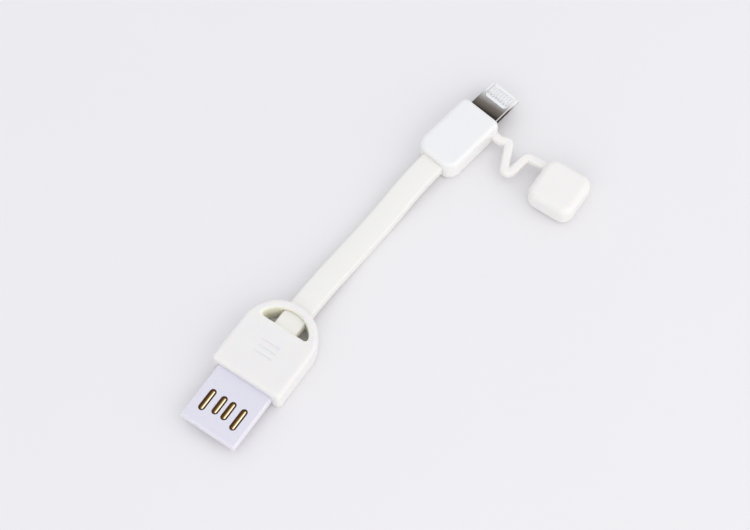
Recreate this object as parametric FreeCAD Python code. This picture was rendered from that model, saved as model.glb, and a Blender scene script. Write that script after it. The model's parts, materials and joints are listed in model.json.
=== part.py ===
"""Short flat charging cable with a slim USB-A plug, a two-way phone plug and a tethered dust cap.

Millimetres. +Z is up from the table, +Y runs from the USB plug to the phone plug, and the origin
lies on the underside of the USB housing.
"""
import FreeCAD, Part
import math
import os

Vec = FreeCAD.Vector

# Modelling: nearness of equal lengths, and the share of a run that its bend may take up
tolerance = 1e-6
bend_share = 0.45

# Fits between pieces
seat_clearance = 0.05
cable_clearance = 0.15
hinge_clearance = 0.3

# USB housing: straight sides, a half-round back and the loop inside that back
housing_front = -6.0
housing_width = 15.2
housing_height = 5.0
housing_straight = 10.1
housing_corner = 0.8
housing_edge = 0.8
loop_centre = 10.4
loop_radius = 5.7
loop_wall = 12.2
loop_corner = 1.0
loop_edge = 0.3
bar_count = 3
bar_length = 4.0
bar_width = 0.5
bar_pitch = 1.3
bar_depth = 0.15
bar_middle = 6.8

# USB tongue and its four contacts
tongue_width = 12.0
tongue_thickness = 2.0
tongue_reach = 11.7
tongue_inset = 6.0
tongue_bevel = 0.35
ear_width = 0.4
ear_length = 1.6
pitch_inner = 2.0
pitch_outer = 2.5
slot_width = 1.15
slot_rear = 4.35
slot_length_outer = 4.8
slot_length_inner = 4.1
contact_width = 0.75
contact_thickness = 0.25
contact_depth = 0.3
contact_end_gap = 0.2
contact_tail = 1.2

# Hard core inside the USB housing
usb_core_width = 13.2
usb_core_height = 3.4
usb_core_start = 1.2
usb_core_end = 10.8
usb_core_wall = 1.0

# Flat cable: where it starts inside the USB housing, how far it runs along and aside, and its section
cable_start = 3.9
cable_reach = 51.03
cable_sway = 3.35
cable_width = 5.0
cable_thickness = 2.4
cable_corner = 0.5
cable_lift = 0.07
wire_radius = 0.3
wire_pitch = 1.2
wire_lap = 0.9
wire_lead = 0.25

# Head on the phone end
head_width = 9.2
head_length = 15.0
head_height = 5.4
head_corner_rear = 2.4
head_corner_front = 1.4
head_edge = 1.0
cable_grip = 3.2
head_core_width = 7.7
head_core_height = 3.9
head_core_start = 1.6
head_core_wall = 1.0
chamber_width = 6.9
chamber_height = 3.0

# Phone plug: steel sleeve, contact pad on top and a tongue in its mouth
plug_width = 6.8
plug_thickness = 1.85
plug_reach = 6.6
plug_inset = 4.2
plug_corner = 0.45
plug_chamfer = 0.7
sleeve_wall = 0.3
pad_width = 5.3
pad_rear = 3.0
pad_corner = 0.7
pad_thickness = 0.5
pad_back_thickness = 0.32
pad_contact_count = 8
pad_contact_pitch = 0.64
pad_contact_width = 0.34
pad_contact_length = 2.2
pad_contact_thickness = 0.12
pad_contact_recess = 0.05
pad_contact_start = 3.7
mouth_depth = 5.0
mouth_tongue_width = 5.0
mouth_tongue_thickness = 0.36
mouth_tongue_setback = 0.4
mouth_contact_count = 5
mouth_contact_pitch = 0.65
mouth_contact_width = 0.4
mouth_contact_thickness = 0.12
mouth_contact_setback = 0.9
tail_reach = 1.0

# Board behind the plug
board_width = 6.6
board_length = 5.2
chip_width = 2.4
chip_length = 2.0
chip_height = 0.7
chip_setback = 1.6

# Dust cap and its zigzag strap, placed in the head's frame
strap_width = 1.6
strap_height = 1.6
strap_corner = 0.4
strap_bend = 0.85
strap_root_back = 2.3
strap_root_run = 0.65
strap_reach = 22.0
strap_bends = [(0.359, -1.4), (0.564, -8.9), (0.573, -1.6)]
strap_bite = 0.9
strap_along_cap = 3.2
cap_setback = 3.1
cap_turn = 8.5
cap_width = 9.8
cap_length = 10.0
cap_height = 5.0
cap_corner = 2.3
cap_edge = 1.5
cap_side_clearance = 0.2
cap_depth_clearance = 0.4
lip_back = 1.0
lip_groove = 0.3
lip_depth = 0.15

housing_middle = housing_height / 2
head_middle = head_height / 2
cable_lie = cable_thickness / 2 + cable_lift
# Points of the cable's route, as shares of its sway and reach with their heights: level out of the
# housing, down on to the table and up into the head
cable_bends = [
    (0.0, 0.0, housing_middle),
    (0.0, 0.227, housing_middle),
    (0.209, 0.455, cable_lie),
    (0.448, 0.655, cable_lie),
    (0.645, 0.843, head_middle),
    (1.0, 1.0, head_middle),
]
cable_route = []
for aside, along, level in cable_bends:
    cable_route.append((cable_sway * aside, cable_start + cable_reach * along, level))


def box(x0, x1, y0, y1, z0, z1):
    """A block between two opposite corners."""
    return Part.makeBox(x1 - x0, y1 - y0, z1 - z0, Vec(x0, y0, z0))


def row(count, pitch):
    """Evenly spaced places about zero."""
    return [pitch * (i - (count - 1) / 2) for i in range(count)]


def rounded_section(width, height, radius, middle, y):
    """A rounded rectangle across Y, as a wire."""
    slab = box(-width / 2, width / 2, y, y + radius, middle - height / 2, middle + height / 2)
    corners = [e for e in slab.Edges if e.BoundBox.YLength > tolerance]
    rounded = slab.makeFillet(radius, corners)
    faces = [f for f in rounded.Faces if abs(f.CenterOfMass.y - y) < tolerance]
    return faces[0].OuterWire


def rounded_bar(width, height, radius, middle, y0, y1):
    """A bar along Y with a rounded rectangular section."""
    face = Part.Face(rounded_section(width, height, radius, middle, y0))
    return face.extrude(Vec(0, y1 - y0, 0))


def pill(x, y0, y1, width, z0, z1):
    """A slot-shaped block along Y with half-round ends."""
    radius = width / 2
    body = box(x - radius, x + radius, y0 + radius, y1 - radius, z0, z1)
    ends = [Part.makeCylinder(radius, z1 - z0, Vec(x, y, z0)) for y in (y0 + radius, y1 - radius)]
    return body.multiFuse(ends).removeSplitter()


def upright_edges(shape):
    """The edges that run straight up."""
    found = []
    for edge in shape.Edges:
        bounds = edge.BoundBox
        if bounds.ZLength > tolerance and max(bounds.XLength, bounds.YLength) < tolerance:
            found.append(edge)
    return found


def level_edges(shape, *heights):
    """The edges that lie flat at any of the given heights."""
    found = []
    for edge in shape.Edges:
        bounds = edge.BoundBox
        if bounds.ZLength < tolerance and any(abs(bounds.ZMin - z) < tolerance for z in heights):
            found.append(edge)
    return found


def bent_path(points, radius=None):
    """Straight runs joined by tangent arcs, and the arcs' radii.

    With no radius given, each arc is as large as its two runs allow.
    """
    points = [Vec(*p) for p in points]
    edges = []
    radii = []
    last = points[0]
    for before, corner, after in zip(points, points[1:], points[2:]):
        back = before - corner
        ahead = after - corner
        turn = math.pi - back.getAngle(ahead)
        shorter = min(back.Length, ahead.Length)
        bend = radius or bend_share * shorter / math.tan(turn / 2)
        reach = bend * math.tan(turn / 2)
        back.normalize()
        ahead.normalize()
        inward = back + ahead
        inward.normalize()
        middle = corner + inward * (bend / math.cos(turn / 2) - bend)
        start = corner + back * reach
        end = corner + ahead * reach
        edges.append(Part.LineSegment(last, start).toShape())
        edges.append(Part.Arc(start, middle, end).toShape())
        radii.append(bend)
        last = end
    edges.append(Part.LineSegment(last, points[-1]).toShape())
    return Part.Wire(edges), radii


def sweep(section, path):
    """A solid that carries a level section along a path."""
    pipe = Part.BRepOffsetAPI.MakePipeShell(path)
    pipe.setBiNormalMode(Vec(0, 0, 1))
    pipe.add(section)
    pipe.build()
    pipe.makeSolid()
    return pipe.shape()


def round_wire(x_cable, x_tail, y_cable, y_tail, z):
    """A stranded wire that fans from the cable's end to a tail or a board."""
    lead = (y_tail - y_cable) * wire_lead
    points = [(x_cable, y_cable, z), (x_cable, y_cable + lead, z)]
    points += [(x_tail, y_tail - lead, z), (x_tail, y_tail, z)]
    if abs(x_tail - x_cable) < tolerance:
        points = [points[0], points[-1]]
    path, _ = bent_path(points)
    circle = Part.Circle(Vec(x_cable, y_cable, z), Vec(0, 1, 0), wire_radius)
    return sweep(Part.Wire([circle.toShape()]), path)


# Places that several pieces share
tongue_bottom = housing_middle - tongue_thickness / 2
tongue_top = housing_middle + tongue_thickness / 2
strip_top = tongue_top - contact_depth
strip_bottom = strip_top - contact_thickness
line_names = ["power", "data_minus", "data_plus", "ground"]
inner_x = pitch_inner / 2
outer_x = inner_x + pitch_outer
contact_x = [-outer_x, -inner_x, inner_x, outer_x]
slot_lengths = [slot_length_outer, slot_length_inner, slot_length_inner, slot_length_outer]
wire_x = row(len(line_names), wire_pitch)
pad_contact_x = row(pad_contact_count, pad_contact_pitch)
mouth_contact_x = row(mouth_contact_count, mouth_contact_pitch)
jacket_end = cable_route[0][1] - housing_front
plug_bottom = head_middle - plug_thickness / 2
plug_top = head_middle + plug_thickness / 2
sleeve_ceiling = plug_top - sleeve_wall


def usb_tongue_blank(grow):
    """The tongue's plate with its two retaining ears, enlarged all round by grow."""
    half = tongue_width / 2 + grow
    plate = box(-half, half, -tongue_reach, tongue_inset + grow, tongue_bottom - grow, tongue_top + grow)
    ear_half = half + ear_width
    ear_start = tongue_inset - ear_length - grow
    ears = box(-ear_half, ear_half, ear_start, tongue_inset + grow, tongue_bottom - grow, tongue_top + grow)
    return plate, ears


def make_usb_tongue():
    plate, ears = usb_tongue_blank(0)
    nose_and_sides = [e for e in plate.Edges if min(v.Y for v in e.Vertexes) < tongue_inset - tolerance]
    tongue = plate.makeChamfer(tongue_bevel, nose_and_sides).fuse(ears).removeSplitter()
    half = contact_width / 2 + seat_clearance
    for x, length in zip(contact_x, slot_lengths):
        front = -slot_rear - length
        tongue = tongue.cut(pill(x, front, -slot_rear, slot_width, strip_bottom, tongue_top))
        tunnel = box(x - half, x + half, -slot_rear - slot_width / 2, tongue_inset,
                     strip_bottom, strip_top + seat_clearance)
        tongue = tongue.cut(tunnel)
    return tongue


def make_usb_contact(x, length):
    """A stamped strip: rounded where it shows in the slot, with a square tail behind."""
    front = -slot_rear - length + contact_end_gap
    end = tongue_inset + contact_tail
    half = contact_width / 2
    strip = box(x - half, x + half, front + half, end, strip_bottom, strip_top)
    nose = Part.makeCylinder(half, contact_thickness, Vec(x, front + half, strip_bottom))
    return strip.fuse(nose).removeSplitter()


def cable_window(y0, y1, middle):
    """The room that a passage leaves round the flat cable."""
    return rounded_bar(cable_width + 2 * cable_clearance, cable_thickness + 2 * cable_clearance,
                       cable_corner + cable_clearance, middle, y0, y1)


def usb_core_block(grow):
    half = usb_core_width / 2 + grow
    rise = usb_core_height / 2 + grow
    return box(-half, half, usb_core_start - grow, usb_core_end + grow,
               housing_middle - rise, housing_middle + rise)


def make_usb_core():
    core = usb_core_block(0)
    plate, ears = usb_tongue_blank(seat_clearance)
    core = core.cut(plate).cut(ears)
    half = tongue_width / 2 - usb_core_wall
    chamber = box(-half, half, tongue_inset, usb_core_end - usb_core_wall, tongue_bottom, tongue_top)
    window = cable_window(tongue_inset + contact_tail, usb_core_end, housing_middle)
    return core.cut(chamber).cut(window)


def make_usb_housing():
    half = housing_width / 2
    apex = housing_straight + half
    left = Vec(-half, housing_straight, 0)
    right = Vec(half, housing_straight, 0)
    outline = Part.Wire([
        Part.LineSegment(Vec(-half, 0, 0), Vec(half, 0, 0)).toShape(),
        Part.LineSegment(Vec(half, 0, 0), right).toShape(),
        Part.Arc(right, Vec(0, apex, 0), left).toShape(),
        Part.LineSegment(left, Vec(-half, 0, 0)).toShape(),
    ])
    body = Part.Face(outline).extrude(Vec(0, 0, housing_height))
    front_corners = [e for e in upright_edges(body) if e.BoundBox.YMax < housing_straight / 2]
    body = body.makeFillet(housing_corner, front_corners)
    body = body.makeFillet(housing_edge, level_edges(body, 0, housing_height))
    body = body.cut(loop_cutter())
    rims = [e for e in level_edges(body, 0, housing_height) if in_loop(e)]
    body = body.makeFillet(loop_edge, rims)
    body = body.cut(usb_core_block(seat_clearance))
    plate, _ = usb_tongue_blank(seat_clearance)
    body = body.cut(plate)
    body = body.cut(cable_window(usb_core_end, apex, housing_middle))
    floor = housing_height - bar_depth
    for offset in row(bar_count, bar_pitch):
        bar = pill(0, -bar_length / 2, bar_length / 2, bar_width, floor, housing_height)
        bar.rotate(Vec(0, 0, 0), Vec(0, 0, 1), 90)
        bar.translate(Vec(0, bar_middle + offset, 0))
        body = body.cut(bar)
    return body


def loop_cutter():
    """The D-shaped prism of the loop, with rounded ends."""
    rise = loop_wall - loop_centre
    half = math.sqrt(loop_radius ** 2 - rise ** 2)
    left = Vec(-half, loop_wall, 0)
    right = Vec(half, loop_wall, 0)
    crown = Vec(0, loop_centre + loop_radius, 0)
    wire = Part.Wire([Part.LineSegment(left, right).toShape(), Part.Arc(right, crown, left).toShape()])
    prism = Part.Face(wire).extrude(Vec(0, 0, housing_height))
    return prism.makeFillet(loop_corner, upright_edges(prism))


def in_loop(edge):
    """Whether an edge belongs to the loop's own rim."""
    bounds = edge.BoundBox
    reach = max(abs(bounds.XMin), abs(bounds.XMax))
    return reach < loop_radius + tolerance and loop_wall - tolerance < bounds.YMin


def make_flat_cable():
    path, radii = bent_path(cable_route)
    x, y, z = cable_route[0]
    section = rounded_section(cable_width, cable_thickness, cable_corner, z, y)
    cable = sweep(section, path)
    plain = Part.Face(section).Area * path.Length
    print("cable length", round(path.Length, 2), "bend radii", [round(r, 1) for r in radii])
    print("cable volume", round(cable.Volume, 2), "section times length", round(plain, 2))
    return cable


def head_core_block(grow):
    half = head_core_width / 2 + grow
    rise = head_core_height / 2 + grow
    rear = -head_length + cable_grip - head_core_wall
    return box(-half, half, rear - grow, -head_core_start + grow, head_middle - rise, head_middle + rise)


def make_head_core():
    core = head_core_block(0)
    core = core.cut(plug_envelope(seat_clearance))
    half = chamber_width / 2
    front = -plug_inset - seat_clearance
    rear = -head_length + cable_grip
    rise = chamber_height / 2
    core = core.cut(box(-half, half, rear, front, head_middle - rise, head_middle + rise))
    return core.cut(cable_window(rear - head_core_wall, rear, head_middle))


def make_head_housing():
    half = head_width / 2
    body = box(-half, half, -head_length, 0, 0, head_height)
    rear_corners = [e for e in upright_edges(body) if e.BoundBox.YMax < -head_length / 2]
    body = body.makeFillet(head_corner_rear, rear_corners)
    front_corners = [e for e in upright_edges(body) if e.BoundBox.YMin > -head_length / 2]
    body = body.makeFillet(head_corner_front, front_corners)
    body = body.makeFillet(head_edge, level_edges(body, 0, head_height))
    body = body.cut(head_core_block(seat_clearance))
    body = body.cut(plug_envelope(seat_clearance))
    return body.cut(cable_window(-head_length, -head_length + cable_grip, head_middle))


def plug_bar(grow, y0, y1):
    """A bar with the plug's section, enlarged all round by grow: its two lower corners are cut off."""
    half = plug_width / 2 + grow
    low = plug_bottom - grow
    high = plug_top + grow
    cut = plug_chamfer + grow * (2 - math.sqrt(2))
    corners = [(-half, high), (half, high), (half, low + cut), (half - cut, low)]
    corners += [(cut - half, low), (-half, low + cut), (-half, high)]
    face = Part.Face(Part.makePolygon([Vec(x, y0, z) for x, z in corners]))
    bar = face.extrude(Vec(0, y1 - y0, 0))
    lengthwise = [e for e in bar.Edges if e.BoundBox.YLength > tolerance]
    return bar.makeFillet(plug_corner + grow, lengthwise)


def plug_envelope(grow):
    """The sleeve's outer form from its seat to its tip, enlarged all round by grow."""
    return plug_bar(grow, -plug_inset - grow, plug_reach + grow)


def sleeve_room():
    """The space inside the sleeve's walls."""
    return plug_bar(-sleeve_wall, -plug_inset, plug_reach)


def pad_plan(grow):
    """The pad's outline on the plug's top, rounded at its rear corners, as an upright prism."""
    half = pad_width / 2 + grow
    prism = box(-half, half, pad_rear - grow, plug_reach, plug_top - pad_thickness, plug_top)
    rear = [e for e in upright_edges(prism) if e.BoundBox.YMax < plug_reach - tolerance]
    return prism.makeFillet(pad_corner + grow, rear)


def make_plug_sleeve():
    sleeve = plug_envelope(0).cut(sleeve_room())
    return sleeve.cut(pad_plan(seat_clearance))


pad_back_top = sleeve_ceiling - seat_clearance
pad_back_bottom = pad_back_top - pad_back_thickness
pad_tail_top = pad_back_bottom + pad_contact_thickness


def make_pad_contact(x, grow):
    """A formed contact: a plate on the pad, a step down and a tail under the sleeve's top."""
    half = pad_contact_width / 2 + grow
    plate_top = plug_top - pad_contact_recess
    plate_bottom = plate_top - pad_contact_thickness
    end = pad_contact_start + pad_contact_length
    tail_end = -plug_inset - tail_reach
    plate = box(x - half, x + half, pad_contact_start, end + grow, plate_bottom, plate_top + grow)
    step = box(x - half, x + half, pad_contact_start, pad_contact_start + pad_contact_thickness,
               pad_back_bottom, plate_top + grow)
    tail = box(x - half, x + half, tail_end, pad_contact_start + pad_contact_thickness,
               pad_back_bottom, pad_tail_top + grow)
    return plate.fuse([step, tail]).removeSplitter()


def make_contact_pad():
    """White insert: the pad in the sleeve's window and a thin root that runs back under the steel."""
    half = pad_width / 2 - pad_corner
    root = box(-half, half, -plug_inset, pad_rear + pad_corner, pad_back_bottom, pad_back_top)
    pad = pad_plan(0).fuse(root).removeSplitter()
    for x in pad_contact_x:
        pad = pad.cut(make_pad_contact(x, seat_clearance / 2))
        pad = pad.cut(pill(x, pad_contact_start, pad_contact_start + pad_contact_length + pad_contact_width,
                           pad_contact_width, plug_top - pad_contact_recess, plug_top))
    return pad


mouth_tongue_top = pad_back_bottom - seat_clearance
mouth_tongue_bottom = mouth_tongue_top - mouth_tongue_thickness
mouth_strip_bottom = mouth_tongue_bottom - mouth_contact_thickness


def make_mouth_contact(x, grow):
    half = mouth_contact_width / 2 + grow
    front = plug_reach - mouth_tongue_setback - mouth_contact_setback
    return box(x - half, x + half, -plug_inset - tail_reach, front,
               mouth_strip_bottom - grow, mouth_tongue_bottom)


def make_mouth_core():
    """Insulator behind the plug's mouth, with the thin tongue that carries the mouth's contacts."""
    mouth_wall = plug_reach - mouth_depth
    filling = plug_bar(-sleeve_wall - seat_clearance, -plug_inset, mouth_wall)
    block = filling.common(box(-plug_width, plug_width, -plug_inset, mouth_wall, 0, mouth_tongue_top))
    tongue_half = mouth_tongue_width / 2
    tongue = box(-tongue_half, tongue_half, -plug_inset, plug_reach - mouth_tongue_setback,
                 mouth_tongue_bottom, mouth_tongue_top)
    core = block.fuse(tongue).removeSplitter()
    for x in mouth_contact_x:
        core = core.cut(make_mouth_contact(x, seat_clearance / 2))
    return core


board_top = pad_back_bottom - seat_clearance
board_bottom = mouth_tongue_bottom + seat_clearance
board_front = -plug_inset - seat_clearance
board_rear = board_front - board_length


def make_head_board():
    half = board_width / 2
    return box(-half, half, board_rear, board_front, board_bottom, board_top)


def make_id_chip():
    half = chip_width / 2
    front = board_front - chip_setback
    return box(-half, half, front - chip_length, front, board_top, board_top + chip_height)


def make_head_wire(x):
    """A wire that lies on the board's rear edge and runs straight into the cable's end."""
    start = -head_length + cable_grip
    z = board_top + wire_radius + seat_clearance
    return Part.makeCylinder(wire_radius, board_rear + wire_lap - start, Vec(x, start, z), Vec(0, 1, 0))


def cap_block(width, length, height, corner, edge):
    """A soft block about the origin in plan, standing on the table plane."""
    block = box(-width / 2, width / 2, -length / 2, length / 2, 0, height)
    block = block.makeFillet(corner, upright_edges(block))
    return block.makeFillet(edge, level_edges(block, 0, height))


def make_dust_cap():
    """The cap and its strap, moulded as one, in the head's frame. The mouth is beside the strap, and a
    groove round the closed end leaves a lip to pull at."""
    cap = cap_block(cap_width, cap_length, cap_height, cap_corner, cap_edge)
    groove_y = -cap_length / 2 + lip_back
    core = rounded_bar(cap_width - 2 * lip_depth, cap_height - 2 * lip_depth, cap_edge - lip_depth,
                       cap_height / 2, groove_y, groove_y + lip_groove)
    ring = box(-cap_width, cap_width, groove_y, groove_y + lip_groove, -cap_height, 2 * cap_height)
    cap = cap.cut(ring.cut(core))
    turned = FreeCAD.Rotation(Vec(0, 0, 1), cap_turn)
    cap_place = FreeCAD.Placement(Vec(strap_reach, -cap_setback, 0), turned)
    cap.Placement = cap_place
    level = cap_height / 2
    joined = cap_place.multVec(Vec(-cap_width / 2 + strap_bite, strap_along_cap, 0))
    root_x = hinge_x()
    points = [(root_x, -strap_root_back, level), (root_x + strap_root_run, -strap_root_back, level)]
    points += [(strap_reach * share, y, level) for share, y in strap_bends]
    points += [(joined.x, joined.y, level)]
    path, _ = bent_path(points, strap_bend)
    section = rounded_section(strap_width, strap_height, strap_corner, level, 0)
    section.rotate(Vec(0, 0, level), Vec(0, 0, 1), -90)
    section.translate(Vec(root_x, -strap_root_back, 0))
    strap = sweep(section, path)
    knuckle = Part.makeCylinder(strap_height / 2, strap_width,
                                Vec(root_x, -strap_root_back - strap_width / 2, level), Vec(0, 1, 0))
    cap = cap.multiFuse([strap, knuckle]).removeSplitter()
    mouth = cap_length / 2
    room = rounded_bar(plug_width + 2 * cap_side_clearance, plug_thickness + 2 * cap_side_clearance,
                       plug_corner + cap_side_clearance, cap_height / 2,
                       mouth - plug_reach - cap_depth_clearance, mouth)
    room.Placement = cap_place
    return cap.cut(room)


def hinge_x():
    """How far the strap's bending line stands out from the middle of the head."""
    return head_width / 2 + hinge_clearance + strap_height / 2


# Pieces of the USB end, made with the housing's front face at zero
usb_end = {"usb_housing": make_usb_housing(), "usb_core": make_usb_core(), "usb_tongue": make_usb_tongue()}
wire_level = strip_bottom - wire_radius - seat_clearance
tail_lap_end = tongue_inset + contact_tail - wire_lap
for name, x, length, wire in zip(line_names, contact_x, slot_lengths, wire_x):
    usb_end[f"usb_contact_{name}"] = make_usb_contact(x, length)
    usb_end[f"usb_wire_{name}"] = round_wire(wire, x, jacket_end, tail_lap_end, wire_level)

# Pieces of the phone end, made with the head's front face at zero and its length along Y
phone_end = {
    "head_housing": make_head_housing(),
    "head_core": make_head_core(),
    "plug_sleeve": make_plug_sleeve(),
    "contact_pad": make_contact_pad(),
    "mouth_core": make_mouth_core(),
    "head_board": make_head_board(),
    "id_chip": make_id_chip(),
    "dust_cap": make_dust_cap(),
}
for i, x in enumerate(pad_contact_x):
    phone_end[f"pad_contact_{i + 1}"] = make_pad_contact(x, 0)
for i, x in enumerate(mouth_contact_x):
    phone_end[f"mouth_contact_{i + 1}"] = make_mouth_contact(x, 0)
for name, x in zip(line_names, wire_x):
    phone_end[f"head_wire_{name}"] = make_head_wire(x)

# The head lies in line with the cable's last run
run = Vec(*cable_route[-1]) - Vec(*cable_route[-2])
run.normalize()
head_front = Vec(*cable_route[-1]) + run * (head_length - cable_grip)
head_yaw = math.degrees(math.atan2(run.x, run.y))
head_turn = FreeCAD.Rotation(Vec(0, 0, 1), -head_yaw)
head_place = FreeCAD.Placement(Vec(head_front.x, head_front.y, 0), head_turn)
usb_place = FreeCAD.Placement(Vec(0, housing_front, 0), FreeCAD.Rotation())
hinge = head_place.multVec(Vec(hinge_x(), -strap_root_back, cap_height / 2))
print("head yaw", round(head_yaw, 3), "head front", [round(c, 3) for c in head_front])
print("strap hinge at", [round(c, 3) for c in hinge])

nodes = {"flat_cable": make_flat_cable()}
for place, pieces in ((usb_place, usb_end), (head_place, phone_end)):
    for name, piece in pieces.items():
        piece.Placement = place.multiply(piece.Placement)
        nodes[name] = piece

os.makedirs("parts", exist_ok=True)
for name, piece in nodes.items():
    piece.exportStep(f"parts/{name}.step")
print(len(nodes), "pieces, valid:", all(p.isValid() for p in nodes.values()))
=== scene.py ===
# %% [markdown]
# # A short charging cable for a key ring
#
# The object is a flat white cable, nine centimetres long. A slim USB tongue sits in a soft housing
# with a loop for a key ring, and at the other end a two-way phone plug sits in a rounded head, with
# a dust cap on a zigzag strap. Each cell below makes one piece or one finish, and the text before it
# says what the real thing is and why it is modelled this way.

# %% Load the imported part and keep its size
import json
import math
import bmesh
import bpy
from mathutils import Matrix, Vector

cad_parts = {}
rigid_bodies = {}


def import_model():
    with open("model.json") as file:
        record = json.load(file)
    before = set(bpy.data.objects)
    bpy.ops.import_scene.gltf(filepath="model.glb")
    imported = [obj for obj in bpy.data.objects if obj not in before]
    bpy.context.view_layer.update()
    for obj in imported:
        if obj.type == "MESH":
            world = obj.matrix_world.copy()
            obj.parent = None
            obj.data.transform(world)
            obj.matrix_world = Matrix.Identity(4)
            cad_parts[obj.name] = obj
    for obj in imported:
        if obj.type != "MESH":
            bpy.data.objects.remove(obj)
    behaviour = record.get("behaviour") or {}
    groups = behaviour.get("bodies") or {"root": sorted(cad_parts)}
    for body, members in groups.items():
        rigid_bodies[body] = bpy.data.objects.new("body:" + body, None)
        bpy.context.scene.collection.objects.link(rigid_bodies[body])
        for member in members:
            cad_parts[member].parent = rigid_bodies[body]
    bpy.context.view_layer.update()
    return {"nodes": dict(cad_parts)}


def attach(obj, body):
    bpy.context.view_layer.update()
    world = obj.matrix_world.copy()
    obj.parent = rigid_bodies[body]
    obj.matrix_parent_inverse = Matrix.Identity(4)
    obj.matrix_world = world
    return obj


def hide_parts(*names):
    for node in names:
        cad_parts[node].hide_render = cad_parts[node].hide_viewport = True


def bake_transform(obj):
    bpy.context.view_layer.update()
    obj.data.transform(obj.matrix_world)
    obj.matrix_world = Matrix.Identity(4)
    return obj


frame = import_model()

# %% [markdown]
# ## Camera
#
# The photograph looks down at the cable from the USB end, a little from the right. The camera comes
# first. It could be turned by hand until the picture fits, but an aim, two angles and a distance can be
# changed one at a time. A long lens from a third of a metre keeps the sides nearly parallel, as they
# are in the photograph.

# %% Camera at the photograph's angle
MM = 0.001
aim = Vector((5.324, 28.295, 0.0)) * MM
view_azimuth = math.radians(34.4)
view_elevation = math.radians(64.0)
view_distance = 343.0 * MM
level_reach = math.cos(view_elevation)
towards_camera = Vector((
    math.sin(view_azimuth) * level_reach,
    -math.cos(view_azimuth) * level_reach,
    math.sin(view_elevation),
))
camera_lens = bpy.data.cameras.new("photo_camera")
camera_lens.sensor_width = 36.0
camera_lens.lens = 86.4
camera_lens.clip_start = 0.01
camera = bpy.data.objects.new("photo_camera", camera_lens)
camera.location = aim + towards_camera * view_distance
camera.rotation_euler = (-towards_camera).to_track_quat("-Z", "Y").to_euler()
bpy.context.scene.collection.objects.link(camera)
bpy.context.scene.camera = camera
bpy.context.scene.view_settings.view_transform = "Standard"
print("camera at", [round(c, 4) for c in camera.location])

# %% [markdown]
# ## Tools for finishes
#
# A finish is a material built from nodes. They could be wired by hand in the shader editor, but a
# script that wires them is easier to read and to change. `Flow` wraps one socket, so that sums of
# masks are written as plain sums, and each operator adds one Math node. Every other node goes through
# `Nodes.node`, which sets the node's own settings first and then its sockets. `Finish` adds the
# patterns and the masks that the finishes of this object share.


# %% Sockets that take part in sums
class Flow:
    """One output of a shader node, which operators can work on."""

    def __init__(self, nodes, socket):
        self.nodes = nodes
        self.socket = socket

    def maths(self, operation, *terms):
        return self.nodes.node("ShaderNodeMath", {"operation": operation}, dict(enumerate(terms)))

    def __add__(self, other):
        return self.maths("ADD", self, other)

    def __radd__(self, other):
        return self.maths("ADD", other, self)

    def __sub__(self, other):
        return self.maths("SUBTRACT", self, other)

    def __rsub__(self, other):
        return self.maths("SUBTRACT", other, self)

    def __mul__(self, other):
        return self.maths("MULTIPLY", self, other)

    def __rmul__(self, other):
        return self.maths("MULTIPLY", other, self)


print("sockets can be added, subtracted and multiplied")


# %% Nodes, their settings and their sockets
class Nodes:
    """A node tree under construction. Colours are given as red, green and blue."""

    def __init__(self, tree):
        self.tree = tree

    def node(self, kind, settings=None, sockets=None, out=0):
        """Adds a node: its settings, then its sockets' values or links. Returns one output."""
        made = self.tree.nodes.new(kind)
        for key, value in (settings or {}).items():
            if key == "stops":
                self.set_stops(made.color_ramp, value)
            else:
                setattr(made, key, value)
        for key, value in (sockets or {}).items():
            self.feed(self.find(made.inputs, key), value)
        return Flow(self, self.find(made.outputs, out))

    def set_stops(self, ramp, stops):
        """Gives a colour ramp its stops, each a position and a colour."""
        while len(ramp.elements) < len(stops):
            ramp.elements.new(1.0)
        for element, (position, colour) in zip(ramp.elements, stops):
            element.position = position
            element.color = (*colour, 1.0)

    def find(self, sockets, key):
        """A socket by its number, its identifier or its name."""
        if isinstance(key, int):
            return sockets[key]
        return next(s for s in sockets if key in (s.identifier, s.name))

    def feed(self, socket, value):
        """Links a flow to a socket, or gives the socket a plain value."""
        if isinstance(value, Flow):
            self.tree.links.new(value.socket, socket)
        elif socket.type == "RGBA":
            socket.default_value = (*value, 1.0)
        else:
            socket.default_value = value

    def axis(self, vector, letter):
        """One of the three numbers of a vector."""
        return self.node("ShaderNodeSeparateXYZ", sockets={"Vector": vector}, out=letter)

    def blend(self, mask, low, high):
        """A colour between two others."""
        sockets = {"Factor_Float": mask, "A_Color": low, "B_Color": high}
        return self.node("ShaderNodeMix", {"data_type": "RGBA"}, sockets, "Result_Color")


print("node tools ready")


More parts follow.
